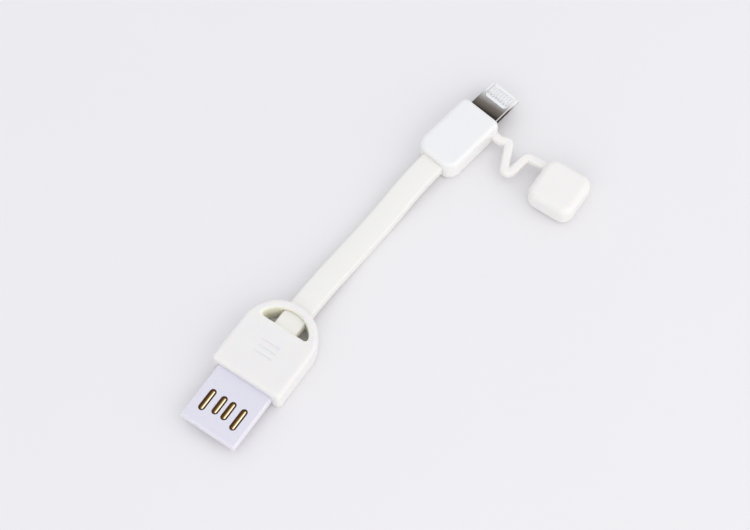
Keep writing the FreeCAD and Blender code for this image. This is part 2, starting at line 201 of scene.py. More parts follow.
# %% Finishes, with the patterns and masks that they share
class Finish(Nodes):
    """A material under construction."""

    def __init__(self, name, constants):
        self.material = bpy.data.materials.new(name)
        self.material.use_nodes = True
        super().__init__(self.material.node_tree)
        self.shader = self.tree.nodes["Principled BSDF"]
        for socket, value in constants.items():
            self.feed(self.shader.inputs[socket], value)

    def surface(self, **inputs):
        """Feeds what changes over the surface to the shader; base_color goes to Base Color."""
        for key, value in inputs.items():
            self.feed(self.shader.inputs[key.replace("_", " ").title()], value)
        return self.material

    def place(self):
        """Where a point is on the piece, in metres."""
        return self.node("ShaderNodeTexCoord", out="Object")

    def noise(self, size, detail, stretch=None, where=None):
        """Soft noise with lumps of the given size in metres, drawn out where stretch says so."""
        where = where or self.place()
        if stretch:
            where = self.node("ShaderNodeMapping", sockets={"Vector": where, "Scale": stretch})
        pattern = {"Vector": where, "Scale": 1 / size, "Detail": detail}
        return self.node("ShaderNodeTexNoise", sockets=pattern)

    def bump(self, height, depth):
        """A normal that follows a pattern, with its full height in metres."""
        return self.node("ShaderNodeBump", sockets={"Strength": 1.0, "Distance": depth, "Height": height})

    def fade(self, value, start, end):
        """Nought where a value is at start, one where it is at end, and even between them."""
        sockets = {"Value": value, "From Min": start, "From Max": end}
        return self.node("ShaderNodeMapRange", sockets=sockets)

    def ramp(self, value, stops):
        """A colour that follows a value from stop to stop."""
        return self.node("ShaderNodeValToRGB", {"stops": stops}, {"Fac": value})

    def facing(self, direction):
        """How squarely a face looks in a direction: one where it looks straight that way."""
        normal = self.node("ShaderNodeTexCoord", out="Normal")
        settings = {"operation": "DOT_PRODUCT"}
        return self.node("ShaderNodeVectorMath", settings, {0: normal, 1: direction}, "Value")


print("finish tools ready")

# %% [markdown]
# ## Whites
#
# Almost everything here is white, so the pieces differ by gloss, by grain and by a slight tint. One
# white for all would be simpler, but then the pieces would run together. The housing is a soft-touch
# moulding with a fine spark-eroded grain. The tongue, the head and the contact pad are smoother, and
# the jacket and the cap are rubbery. Each white gets faint clouds in its colour, because a moulding is
# never perfectly even, and a grain in its normal. Light goes a little way into all but the jacket.
#
# Two masks add painted light as a second tint. The sides of the tongue and of the head are painted paler
# than their tops, as the lamps light them more, so one mask reads which way a face looks. The inner wall of
# the housing's loop is painted warmer and paler than the rest, as warm light that glows through the plastic
# and bounces inside the loop, so the other mask is one inside the loop's circle and behind its straight wall.

# %% A white moulding
straight_up = (0.0, 0.0, 1.0)
# Bounds of the painted paler sides, by how far a face leans from level.
level_face = 0.98
flank_face = 0.75
# Painted warm light for the loop's inner wall.
painted_loop_light = (0.94, 0.91, 0.77)
light_reach = {"Subsurface Radius": (1.0, 0.8, 0.5), "Subsurface Scale": 0.6 * MM}
cloud_size = 4.0 * MM
cloud_gloss = 0.08
grain_gloss = 0.12


def white(name, tint, clouding, roughness, grain, depth, glow=0.3, loop_light_mask=None, painted_side_light=None):
    """A white moulding: clouds just below its tint, a fine grain, and painted light as a second tint where a
    mask says.
    """
    finish = Finish(name, {"IOR": 1.5, "Subsurface Weight": glow, **light_reach})
    clouds = finish.noise(cloud_size, 3.0)
    fine = finish.noise(grain, 2.0)
    colour = finish.blend(clouds, [part - clouding for part in tint], tint)
    # Painted warm light on the loop's inner wall.
    if loop_light_mask:
        colour = finish.blend(loop_light_mask(finish), colour, painted_loop_light)
    # Painted light: faces that lean towards the side get a paler tint.
    if painted_side_light:
        side_light_share = finish.fade(finish.facing(straight_up), level_face, flank_face)
        colour = finish.blend(side_light_share, colour, painted_side_light)
    rough = roughness + (fine - 0.5) * grain_gloss + (clouds - 0.5) * cloud_gloss
    return finish.surface(base_color=colour, roughness=rough, normal=finish.bump(fine, depth))


print("tool for whites ready")

# %% The whites of this object
housing_front = -6.0
loop_centre = housing_front + 10.4
loop_radius = 5.7
loop_wall = housing_front + 12.2
loop_light_fade = 0.2


# Mask for the painted warm light inside the loop.
def in_the_loop(finish):
    """One on the loop's inner wall, nought on the faces outside it."""
    shift = {"Location": (0.0, -loop_centre * MM, 0.0), "Scale": (1.0, 1.0, 0.0)}
    flat = finish.node("ShaderNodeMapping", sockets={"Vector": finish.place(), **shift})
    radius = finish.node("ShaderNodeVectorMath", {"operation": "LENGTH"}, {0: flat}, "Value")
    wall = loop_wall - loop_centre
    round_wall = finish.fade(radius, (loop_radius + loop_light_fade) * MM, loop_radius * MM)
    straight_wall = finish.fade(finish.axis(flat, "Y"), (wall - loop_light_fade) * MM, wall * MM)
    return round_wall * straight_wall


# The housing's tint inside the loop is painted warm light.
soft_touch = white("soft_touch_white", (0.850, 0.834, 0.822), clouding=0.016, roughness=0.58,
                   grain=0.12 * MM, depth=0.006 * MM, glow=0.6, loop_light_mask=in_the_loop)
# The tongue's paler sides are painted light.
tongue_white = white("tongue_white", (0.743, 0.727, 0.806), clouding=0.016, roughness=0.34,
                     grain=0.2 * MM, depth=0.003 * MM, painted_side_light=(0.82, 0.80, 0.855))
jacket_white = white("jacket_white", (0.858, 0.846, 0.806), clouding=0.014, roughness=0.5,
                     grain=0.16 * MM, depth=0.006 * MM, glow=0.0)
# The head's paler sides are painted light.
head_white = white("head_white", (0.848, 0.850, 0.852), clouding=0.015, roughness=0.42,
                   grain=0.14 * MM, depth=0.004 * MM, glow=0.1, painted_side_light=(0.89, 0.88, 0.86))
cap_white = white("cap_white", (0.876, 0.853, 0.831), clouding=0.014, roughness=0.55,
                  grain=0.14 * MM, depth=0.006 * MM)
pad_white = white("pad_white", (0.87, 0.86, 0.86), clouding=0.02, roughness=0.35,
                  grain=0.1 * MM, depth=0.002 * MM)
whites = [soft_touch, tongue_white, jacket_white, head_white, cap_white, pad_white]
print("whites:", ", ".join(finish.name for finish in whites))

# %% [markdown]
# ## Gold on the contacts
#
# The four USB contacts are gold plated strips with a rounded crown. Their colour holds painted light:
# a painted highlight runs along the side of each crown that faces the lamp, the plate beside it is
# painted brown as shade, and the strip round the crown is painted nearly black, as shadow in the slot.
# One plain gold would leave all of that to the lamps, so the direction of a face picks the tone on the
# crown, and its height tells the crown from the strip. The contacts in the plug's mouth get the same
# painted highlight and shade, with tones that lie closer together.

# %% Gold
# The face direction that gets the painted highlight.
highlight_side = (0.45, 0.0, 0.89)
scuffs_across = (4.0, 1.0, 1.0)
scuff_tone = 0.04
scuff_gloss = 0.16
plate_depth = 0.002 * MM


def gold(name, highlight, plain, shaded, slot_shadow, floor, crown):
    """Gold plate on a strip: a painted highlight on the side facing the lamp, painted shade beside it,
    painted slot shadow at its foot.
    """
    finish = Finish(name, {"Metallic": 1.0})
    scuffs = finish.noise(0.35 * MM, 3.0, scuffs_across)
    fine = finish.noise(0.08 * MM, 2.0)
    # How squarely a face looks towards the lamp picks the painted highlight and shade.
    highlight_facing = finish.facing(highlight_side) - scuffs * scuff_tone
    plate = finish.ramp(highlight_facing, [(0.80, shaded), (0.89, plain), (0.96, highlight)])
    # Below the crown the strip is painted nearly black, as shadow in the slot.
    risen = finish.fade(finish.axis(finish.place(), "Z"), floor, crown)
    colour = finish.blend(risen, slot_shadow, plate)
    rough = 0.2 + scuffs * scuff_gloss
    return finish.surface(base_color=colour, roughness=rough, normal=finish.bump(fine, plate_depth))


contact_gold = gold("contact_gold", highlight=(1.0, 0.92, 0.66), plain=(0.46, 0.31, 0.12),
                    shaded=(0.19, 0.08, 0.02), slot_shadow=(0.065, 0.036, 0.016),
                    floor=3.31 * MM, crown=3.35 * MM)
# The mouth contacts get the same painted highlight and shade, in closer tones.
mouth_gold = gold("mouth_gold", highlight=(0.95, 0.72, 0.33), plain=(0.78, 0.54, 0.22),
                  shaded=(0.60, 0.36, 0.12), slot_shadow=(0.30, 0.16, 0.06),
                  floor=1.0 * MM, crown=2.0 * MM)
print("golds:", contact_gold.name, "and", mouth_gold.name)

# %% [markdown]
# ## Plate and steel on the plug
#
# The plug's sleeve is drawn steel, with fine lines along it. Its colour holds painted reflections: it
# is painted dark by the head, as dark reflection and shade, and pale towards the tip, as painted light.
# The side is painted dark further out, and the long edge between the top and that side gets a painted
# pale highlight. The eight small contacts on the pad are plated, painted grey at their rear and pale
# towards the tip, as painted light. All of it follows the plug, which lies at an angle, so a Mapping
# node turns the coordinates into the head's own directions before any mask reads them.

# %% Plate on the pad's contacts
head_front = Vector((5.0827, 66.6022, 0.0)) * MM
head_yaw = math.radians(8.4433)
grey_end = 4.0 * MM
pale_start = 4.5 * MM


def on_head(finish):
    """Where a point is in the head's own directions: X across, Y towards the plug's tip."""
    turned = {"Vector": finish.place(), "Location": head_front, "Rotation": (0.0, 0.0, -head_yaw)}
    return finish.node("ShaderNodeMapping", {"vector_type": "TEXTURE"}, turned)


def plated_pad():
    """Plate on the pad's contacts: grey at their rear, with painted light making them pale towards the tip.
    """
    finish = Finish("pad_gold", {"Metallic": 1.0})
    scuffs = finish.noise(0.3 * MM, 3.0)
    # Painted light: the contacts grow pale towards the tip.
    forward = finish.fade(finish.axis(on_head(finish), "Y"), grey_end, pale_start)
    colour = finish.blend(forward, (0.68, 0.67, 0.67), (0.93, 0.92, 0.91))
    rough = 0.22 + scuffs * scuff_gloss
    return finish.surface(base_color=colour, roughness=rough, normal=finish.bump(scuffs, plate_depth))


pad_gold = plated_pad()
print("plate on the pad's contacts:", pad_gold.name)

# %% Drawn steel
plug_reach = 6.6
lines_along = (1.0, 0.06, 1.0)
lines_waver = 0.5 * MM
slant = 0.1
head_side = (math.cos(head_yaw), -math.sin(head_yaw), 0.0)
side_start = 0.55
side_full = 0.75
# Painted reflection on the top: dark by the head, pale at the tip.
painted_top_reflection = [
    (0.02, (0.036, 0.033, 0.029)),
    (0.12, (0.112, 0.096, 0.082)),
    (0.28, (0.190, 0.165, 0.145)),
    (0.44, (0.42, 0.405, 0.39)),
    (0.70, (0.93, 0.92, 0.93)),
]
# Painted reflection on the side: dark, pale only at the tip.
painted_side_reflection = [(0.46, (0.040, 0.036, 0.032)), (0.78, (0.75, 0.74, 0.74))]
# A painted highlight along the long edge between the top and the side.
edge_unlit = (0.0, 0.0, 0.0)
edge_lit = (0.8, 0.8, 0.8)
edge_highlight = [(0.06, edge_unlit), (0.25, edge_lit), (0.52, edge_lit), (0.70, edge_unlit)]
edge_highlight_tone = (0.66, 0.61, 0.59)


def drawn_steel():
    """Painted reflections: dark by the head, pale at the tip, and a painted highlight along one long edge,
    with fine lines along it.
    """
    finish = Finish("drawn_steel", {"Metallic": 1.0})
    local = on_head(finish)
    lines = finish.noise(0.12 * MM, 4.0, lines_along, local)
    uneven = finish.axis(local, "Y") + (lines - 0.5) * lines_waver - finish.axis(local, "X") * slant
    share = finish.fade(uneven, 0.0, plug_reach * MM)
    lean = finish.facing(head_side)
    turned_away = finish.fade(lean, side_start, side_full)
    colour = finish.blend(turned_away, finish.ramp(share, painted_top_reflection), finish.ramp(share, painted_side_reflection))
    colour = finish.blend(finish.ramp(lean, edge_highlight), colour, edge_highlight_tone)
    rough = 0.30 + lines * 0.14
    return finish.surface(base_color=colour, roughness=rough, normal=finish.bump(lines, 0.003 * MM))


plug_steel = drawn_steel()
print("steel on the sleeve:", plug_steel.name)

# %% [markdown]
# ## Inner pieces
#
# The cores, the wires, the board, the chip and the contacts in the plug's mouth are inside and stay
# as the CAD made them. They could stay grey, but they get a finish of their own for anyone who opens
# the model: gold for the contacts, and a mottled plastic in the right colour for the rest.

# %% Finishes for the inner pieces
mottle_shade = 0.86
mouth_contact_count = 5


def inner(name, colour, roughness):
    """A mottled plastic with a fine grain."""
    finish = Finish(name, {"IOR": 1.5})
    mottle = finish.noise(0.9 * MM, 3.0)
    fine = finish.noise(0.15 * MM, 2.0)
    tone = finish.blend(mottle, [mottle_shade * part for part in colour], colour)
    rough = roughness + mottle * 0.1
    return finish.surface(base_color=tone, roughness=rough, normal=finish.bump(fine, 0.004 * MM))


core_finish = inner("core_natural", (0.74, 0.73, 0.68), 0.5)
inner_finishes = {
    "usb_core": core_finish,
    "head_core": core_finish,
    "mouth_core": core_finish,
    "head_board": inner("board_green", (0.05, 0.22, 0.11), 0.3),
    "id_chip": inner("chip_black", (0.03, 0.03, 0.03), 0.45),
}
wire_colours = {
    "power": (0.55, 0.05, 0.04),
    "data_minus": (0.80, 0.80, 0.78),
    "data_plus": (0.05, 0.35, 0.10),
    "ground": (0.03, 0.03, 0.03),
}
for line_name, colour in wire_colours.items():
    insulation = inner("wire_" + line_name, colour, 0.35)
    for end in ("usb_wire_", "head_wire_"):
        inner_finishes[end + line_name] = insulation
for i in range(mouth_contact_count):
    inner_finishes[f"mouth_contact_{i + 1}"] = mouth_gold
for node_name, finish in inner_finishes.items():
    node_mesh = frame["nodes"][node_name].data
    node_mesh.materials.clear()
    node_mesh.materials.append(finish)
print(len(inner_finishes), "inner pieces finished")

# %% [markdown]
# ## Tools for shapes
#
# Pieces are modelled in millimetres, as on a drawing, and brought to metres at the end, so that the
# bevels work on sizes near one. `block` starts a box, `bar` a box that is even about its middle, and
# `soften` rounds edges with a bevel. `carve` takes shapes out of another with a Boolean modifier,
# because cuts that cross curved walls are hard to make by hand. `place_piece` turns the finished mesh
# into an object at the origin, smooth except at sharp edges, that stands for its CAD node, and `keep`
# does so for a rigid piece, which rides on the cable's body.

# %% Blocks and rounded edges
ALONG = 1
UP = 2
tolerance = 1e-4


def block(x0, x1, y0, y1, z0, z1):
    """A box between two opposite corners."""
    shape = bmesh.new()
    middle = Matrix.Translation(((x0 + x1) / 2, (y0 + y1) / 2, (z0 + z1) / 2))
    sides = Matrix.Diagonal((x1 - x0, y1 - y0, z1 - z0, 1.0))
    bmesh.ops.create_cube(shape, size=1.0, matrix=middle @ sides)
    return shape


def bar(half, y0, y1, level, rise):
    """A box along Y that is even about x = 0 and about a level."""
    return block(-half, half, y0, y1, level - rise, level + rise)


def edges_along(shape, axis):
    """The edges that run along one axis."""
    others = [i for i in range(3) if i != axis]
    found = []
    for edge in shape.edges:
        run = edge.verts[1].co - edge.verts[0].co
        if abs(run[axis]) > tolerance and max(abs(run[i]) for i in others) < tolerance:
            found.append(edge)
    return found


def edges_at(shape, axis, *levels):
    """The edges that lie in any of the planes across one axis."""
    found = []
    for edge in shape.edges:
        if any(all(abs(v.co[axis] - level) < tolerance for v in edge.verts) for level in levels):
            found.append(edge)
    return found


def soften(shape, edges, size, segments):
    """Rounds edges."""
    bmesh.ops.bevel(shape, geom=edges, offset=size, offset_type="OFFSET", segments=segments, profile=0.5,
                    affect="EDGES", material=-1, clamp_overlap=True)
    bmesh.ops.remove_doubles(shape, verts=shape.verts, dist=tolerance)
    return shape


print("blocks ready, edges closer than", tolerance, "mm are merged")


# %% Objects, cuts and joins
def as_object(shape, name):
    """A linked object that holds the shape."""
    mesh = bpy.data.meshes.new(name)
    shape.to_mesh(mesh)
    shape.free()
    made = bpy.data.objects.new(name, mesh)
    bpy.context.scene.collection.objects.link(made)
    return made


def settled(made):
    """The object's mesh with its modifiers applied, as a shape; the object goes."""
    graph = bpy.context.evaluated_depsgraph_get()
    mesh = bpy.data.meshes.new_from_object(made.evaluated_get(graph))
    shape = bmesh.new()
    shape.from_mesh(mesh)
    bpy.data.meshes.remove(mesh)
    bpy.data.objects.remove(made)
    return shape


def combine(shape, others, operation):
    """Cuts the other shapes out of a shape, or joins them to it."""
    body = as_object(shape, "body")
    tools = [as_object(other, "tool") for other in others]
    for tool in tools:
        change = body.modifiers.new("combine", "BOOLEAN")
        change.operation = operation
        change.solver = "EXACT"
        change.object = tool
    result = settled(body)
    for tool in tools:
        bpy.data.objects.remove(tool)
    bmesh.ops.remove_doubles(result, verts=result.verts, dist=tolerance)
    return result


def carve(shape, *others):
    """Cuts the other shapes out of a shape."""
    return combine(shape, others, "DIFFERENCE")


print("cuts and joins ready")

# %% Finished pieces
unmoved = Matrix.Identity(4)
crease = 35.0


def place_piece(shape, name, finish, nodes, matrix=unmoved, sharp=crease):
    """Brings a shape to metres and makes it an object that stands for CAD nodes."""
    bmesh.ops.transform(shape, matrix=Matrix.Scale(MM, 4) @ matrix, verts=shape.verts)
    piece = as_object(shape, name)
    piece.data.materials.append(finish)
    piece.data.shade_smooth()
    piece.data.set_sharp_from_angle(angle=math.radians(sharp))
    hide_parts(*nodes)
    print(name, len(piece.data.polygons), "faces for", ", ".join(nodes))
    return piece


def keep(shape, name, finish, nodes, matrix=unmoved):
    """A finished rigid piece. Weighted normals keep its flat faces flat beside the rounded edges."""
    piece = place_piece(shape, name, finish, nodes, matrix)
    level = piece.modifiers.new("flat_faces", "WEIGHTED_NORMAL")
    level.keep_sharp = True
    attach(piece, "cable")


print("edges over", crease, "degrees stay sharp")

# %% [markdown]
# ## The flat cable
#
# The jacket is a flat strip, five by two and a half millimetres, with rounded edges. It starts inside
# the USB housing, crosses the loop, dips on to the table and rises into the head. It could be a curve
# with a bevel, but a curve can twist a flat section. A NURBS curve with the route's points as control
# points gives a line that a stiff flat cable really takes, and the section is carried along the
# points read from that curve, with its flat side kept level.

# %% Points of the cable's line
cable_points = [
    (0.0, 0.0039, 0.0025),
    (0.0, 0.015484, 0.0025),
    (0.0007, 0.027119, 0.00127),
    (0.001501, 0.037325, 0.00127),
    (0.002161, 0.046918, 0.0027),
    (0.00335, 0.05493, 0.0027),
]


def smooth_line(points, steps):
    """The points of a NURBS curve that has the given points as control points."""
    curve = bpy.data.curves.new("line", "CURVE")
    curve.dimensions = "3D"
    spline = curve.splines.new("NURBS")
    spline.points.add(len(points) - 1)
    for point, place in zip(spline.points, points):
        point.co = (*place, 1.0)
    spline.order_u = 3
    spline.use_endpoint_u = True
    spline.resolution_u = steps
    holder = bpy.data.objects.new("line", curve)
    mesh = bpy.data.meshes.new_from_object(holder)
    line = [vertex.co.copy() for vertex in mesh.vertices]
    bpy.data.objects.remove(holder)
    bpy.data.curves.remove(curve)
    bpy.data.meshes.remove(mesh)
    return line


cable_line = smooth_line(cable_points, steps=16)

# %% Carry the section along the line
cable_width = 5.0
cable_thickness = 2.4
cable_corner = 0.5


def section(width, height, corner, segments):
    """A rounded rectangle across Y, as one face."""
    shape = bmesh.new()
    stand = Matrix.Rotation(math.radians(90.0), 4, "X") @ Matrix.Diagonal((width, height, 1.0, 1.0))
    bmesh.ops.create_grid(shape, x_segments=1, y_segments=1, size=0.5, matrix=stand)
    bmesh.ops.bevel(shape, geom=shape.verts, offset=corner, offset_type="OFFSET", segments=segments,
                    profile=0.5, affect="VERTICES", material=-1, clamp_overlap=True)
    return shape


def frames(line):
    """A level frame at each point of a line: X across, Y ahead, Z up."""
    found = []
    for i, point in enumerate(line):
        ahead = (line[min(i + 1, len(line) - 1)] - line[max(i - 1, 0)]).normalized()
        across = ahead.cross(Vector(straight_up)).normalized()
        up = across.cross(ahead)
        turn = Matrix((across, ahead, up)).transposed().to_4x4()
        found.append(Matrix.Translation(point) @ turn)
    return found


def carry(shape, line):
    """Extrudes a section's face from point to point of a line."""
    stops = frames(line)
    face = shape.faces[:][0]
    bmesh.ops.transform(shape, matrix=stops[0], verts=shape.verts)
    for before, after in zip(stops, stops[1:]):
        grown = bmesh.ops.extrude_face_region(shape, geom=[face])["geom"]
        face = next(g for g in grown if isinstance(g, bmesh.types.BMFace))
        bmesh.ops.transform(shape, matrix=after @ before.inverted(), verts=face.verts)
    bmesh.ops.recalc_face_normals(shape, faces=shape.faces)
    return shape


line_mm = [point / MM for point in cable_line]
jacket = carry(section(cable_width, cable_thickness, cable_corner, 5), line_mm)
flat_cord = place_piece(jacket, "flat_cord", jacket_white, ["flat_cable"])
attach(flat_cord, "cable")

# %% [markdown]
# ## The USB housing
#
# One soft moulding holds the tongue and makes the loop. Its outline is straight at the sides and a
# half circle at the back, so one vertex is spun for the back and the outline is extruded. All outer
# edges are rounded, and a fine seam runs round the middle where the mould's halves meet: three level
# cuts give it an edge loop, which is drawn in a little. The D-shaped loop, the ways for the tongue
# and the cable and three grip bars are cut out, and the loop's rim is rounded by a bevel, as a
# rim that a key ring rubs on has to be.

# %% The housing's body
housing_width = 15.2
housing_height = 5.0
housing_straight = 10.1
housing_corner = 0.8
housing_edge = 0.8


def outline_prism(points, centre, angle, steps, low, high):
    """A prism whose outline is a few straight runs and one arc, spun from the last of the points."""
    shape = bmesh.new()
    corners = [shape.verts.new(p) for p in points]
    for a, b in zip(corners, corners[1:]):
        shape.edges.new((a, b))
    spun = bmesh.ops.spin(shape, geom=[corners[-1]], cent=centre, axis=straight_up, angle=angle, steps=steps)
    last = next(g for g in spun["geom_last"] if isinstance(g, bmesh.types.BMVert))
    shape.edges.new((last, corners[0]))
    bmesh.ops.contextual_create(shape, geom=shape.edges)
    grown = bmesh.ops.extrude_face_region(shape, geom=shape.faces[:])["geom"]
    raised = [g for g in grown if isinstance(g, bmesh.types.BMVert)]
    bmesh.ops.translate(shape, vec=(0.0, 0.0, high - low), verts=raised)
    bmesh.ops.translate(shape, vec=(0.0, 0.0, low), verts=shape.verts)
    bmesh.ops.recalc_face_normals(shape, faces=shape.faces)
    return shape


half_width = housing_width / 2
back_centre = housing_front + housing_straight
runs = [(-half_width, housing_front, 0.0), (half_width, housing_front, 0.0), (half_width, back_centre, 0.0)]
housing = outline_prism(runs, (0.0, back_centre, 0.0), math.pi, 64, 0.0, housing_height)
front_corners = [e for e in edges_along(housing, UP) if e.verts[0].co.y < housing_front + tolerance]
soften(housing, front_corners, housing_corner, 6)
soften(housing, edges_at(housing, UP, 0.0, housing_height), housing_edge, 8)
print("housing body:", len(housing.faces), "faces")

# %% The mould's seam
seam_width = 0.09
seam_depth = 0.035
housing_middle = housing_height / 2

for level in (housing_middle - seam_width / 2, housing_middle, housing_middle + seam_width / 2):
    everything = housing.verts[:] + housing.edges[:] + housing.faces[:]
    bmesh.ops.bisect_plane(housing, geom=everything, plane_co=(0.0, 0.0, level), plane_no=straight_up)
housing.normal_update()
seam = [v for v in housing.verts if abs(v.co.z - housing_middle) < tolerance]
for vertex in seam:
    vertex.co -= vertex.normal * seam_depth
print("seam:", len(seam), "points drawn in by", seam_depth, "mm")

# %% The loop
loop_corner = 1.0
loop_edge = 0.8
corner_room = math.radians(16.0)
cut_past = 1.0
slack = 1e-3

wall_angle = math.asin((loop_wall - loop_centre) / loop_radius)
wall_half = loop_radius * math.cos(wall_angle)
arc_start = wall_angle + corner_room
arc_point = (loop_radius * math.cos(arc_start), loop_centre + loop_radius * math.sin(arc_start), 0.0)
loop_runs = [(-wall_half, loop_wall, 0.0), (wall_half, loop_wall, 0.0), arc_point]
loop = outline_prism(loop_runs, (0.0, loop_centre, 0.0), math.pi - 2 * arc_start, 40,
                     -cut_past, housing_height + cut_past)
wall_corners = [e for e in edges_along(loop, UP) if abs(e.verts[0].co.y - loop_wall) < slack]
soften(loop, wall_corners, loop_corner, 6)
housing = carve(housing, loop)


def in_loop(edge):
    """Whether an edge lies on the loop's rim."""
    return all(
        v.co.y > loop_wall - slack and math.hypot(v.co.x, v.co.y - loop_centre) < loop_radius + slack
        for v in edge.verts
    )


rim = [e for e in edges_at(housing, UP, 0.0, housing_height) if in_loop(e)]
soften(housing, rim, loop_edge, 8)
print("loop's rim:", len(rim), "edges rounded by", loop_edge, "mm")

# %% The ways for the core, the tongue and the cable
seat_gap = 0.05
core_half = 6.65
core_reach = 4.85
core_rise = 1.75
tongue_half = 6.0
tongue_rise = 1.0
tongue_way_end = -4.0
loop_gap = 0.15
window_front = 4.0
window_back = 13.0


def cable_tunnel(gap, y0, y1, level):
    """The room that the cable passes through, with a gap all round it."""
    tunnel = bar(cable_width / 2 + gap, y0, y1, level, cable_thickness / 2 + gap)
    return soften(tunnel, edges_along(tunnel, ALONG), cable_corner + gap, 5)


core_room = bar(core_half, -core_reach, core_reach, housing_middle, core_rise)
tongue_way = bar(tongue_half + seat_gap, housing_front - cut_past, tongue_way_end,
                 housing_middle, tongue_rise + seat_gap)
cable_window = cable_tunnel(loop_gap, window_front, window_back, housing_middle)
print("ways ready, the tongue's gap is", seat_gap, "mm")

# %% The grip bars, and the housing in place
bar_length = 4.0
bar_width = 0.5
bar_depth = 0.15
bar_pitch = 1.3
bars_middle = housing_front + 6.8
nearly_half = 0.499


def pill(x, y0, y1, width, z0, z1):
    """A block with half-round ends, along Y."""
    shape = block(x - width / 2, x + width / 2, y0, y1, z0, z1)
    return soften(shape, edges_along(shape, UP), nearly_half * width, 8)


bar_pockets = []
for offset in (-bar_pitch, 0.0, bar_pitch):
    pocket = pill(0.0, -bar_length / 2, bar_length / 2, bar_width,
                  housing_height - bar_depth, housing_height + cut_past)
    turn = Matrix.Translation((0.0, bars_middle + offset, 0.0)) @ Matrix.Rotation(math.pi / 2, 4, "Z")
    bmesh.ops.transform(pocket, matrix=turn, verts=pocket.verts)
    bar_pockets.append(pocket)
housing = carve(housing, core_room, tongue_way, cable_window, *bar_pockets)
keep(housing, "loop_housing", soft_touch, ["usb_housing"])

# %% [markdown]
# ## The USB tongue and its contacts
#
# The tongue is a slim plate, with a bevel that guides it into a socket. Four slots with round ends
# are cut into its top, the outer two longer, and a gold spring contact with a rounded crown lies in
# each. A dark line in the material could stand for a slot, but the slots are real cuts, because their
# dark rims are what the eye sees first in the photograph. A crown starts as a flattened ball, and its
# two halves are drawn apart.

# %% The tongue
tongue_tip = housing_front - 11.7
tongue_back = housing_front + 6.0
tongue_top = housing_middle + tongue_rise
tongue_bevel = 0.35
slot_width = 1.35
slot_rear = housing_front - 4.35
slot_floor = 2.95
slot_rim = 0.07
slots_half = 4.5
slots_front = tongue_tip + 1.5
contacts = {"power": (-3.5, 4.8), "data_minus": (-1.0, 4.1), "data_plus": (1.0, 4.1), "ground": (3.5, 4.8)}

tongue = bar(tongue_half, tongue_tip, tongue_back, housing_middle, tongue_rise)
nose = [e for e in tongue.edges if min(v.co.y for v in e.verts) < tongue_back - tolerance]
soften(tongue, nose, tongue_bevel, 3)
slots = [pill(x, slot_rear - length, slot_rear, slot_width, slot_floor, tongue_top + cut_past)
         for x, length in contacts.values()]
tongue = carve(tongue, *slots)
slot_rims = [
    e for e in edges_at(tongue, UP, tongue_top)
    if all(abs(v.co.x) < slots_half and slots_front < v.co.y < slot_rear + slack for v in e.verts)
]
soften(tongue, slot_rims, slot_rim, 2)
keep(tongue, "contact_tongue", tongue_white, ["usb_tongue"])

# %% The four contacts
base_side_gap = 0.02
base_width = slot_width - 2 * base_side_gap
base_gap = 0.03
base_top = 3.3
tail = 1.2
crown_middle = 3.2
crown_rise = 0.24
crown_half = 0.38
crown_gap = 0.2


def spring_crown(half_run):
    """A rounded crown along Y: a flattened ball with its halves drawn apart."""
    crown = bmesh.new()
    bmesh.ops.create_uvsphere(crown, u_segments=24, v_segments=16, radius=1.0)
    bmesh.ops.rotate(crown, verts=crown.verts, matrix=Matrix.Rotation(math.pi / 2, 3, "X"))
    bmesh.ops.scale(crown, verts=crown.verts, vec=(crown_half, crown_half, crown_rise))
    for side in (-1.0, 1.0):
        half = [v for v in crown.verts if v.co.y * side > tolerance]
        bmesh.ops.translate(crown, verts=half, vec=(0.0, side * half_run, 0.0))
    return crown


for line_name, (x, length) in contacts.items():
    strip = block(x - base_width / 2, x + base_width / 2, slot_rear - length + base_gap, tongue_back + tail,
                  slot_floor, base_top)
    front_end = [e for e in edges_along(strip, UP) if e.verts[0].co.y < slot_rear]
    soften(strip, front_end, nearly_half * base_width, 6)
    crown = spring_crown(length / 2 - crown_gap - crown_half)
    bmesh.ops.translate(crown, verts=crown.verts, vec=(x, slot_rear - length / 2, crown_middle))
    strip = combine(strip, [crown], "UNION")
    keep(strip, "gold_contact_" + line_name, contact_gold, ["usb_contact_" + line_name])

# %% [markdown]
# ## The head
#
# The head is a rounded block in line with the cable's end. It could be a cube under a Subdivision
# Surface, but its flat faces would swell. So its upright corners are rounded first and its level edges
# after them, as a moulded block's are, and the upper half of its front is pushed back, because it
# leans away from the plug. The room for the core, the plug's opening and the cable's way in are cut
# out, so the inner pieces have their place.

# %% The head's block
head_width = 9.2
head_length = 15.0
head_height = 5.4
head_middle = head_height / 2
rear_corner = 2.4
front_corner = 1.4
head_edge = 1.0
front_lean = 0.7
lean_reach = 3.0

head = bar(head_width / 2, -head_length, 0.0, head_middle, head_middle)
soften(head, [e for e in edges_along(head, UP) if e.verts[0].co.y < -head_middle], rear_corner, 10)
soften(head, [e for e in edges_along(head, UP) if e.verts[0].co.y > -slack], front_corner, 8)
soften(head, edges_at(head, UP, 0.0, head_height), head_edge, 8)
for vertex in head.verts:
    rise = max(0.0, vertex.co.z / head_middle - 1.0)
    nearness = max(0.0, 1.0 + vertex.co.y / lean_reach)
    vertex.co.y -= front_lean * rise * nearness
print("head block:", len(head.faces), "faces, its front leans back by", front_lean, "mm")

# %% The head's rooms, and the head in place
head_frame = Matrix.Translation(head_front / MM) @ Matrix.Rotation(-head_yaw, 4, "Z")
plug_width = 6.8
plug_thickness = 1.85
plug_corner = 0.45
plug_way_rear = -2.0
room_half = 3.9
room_rise = 2.0
room_rear = -12.85
room_front = -1.55
head_gap = 0.06
cable_way_end = -12.0

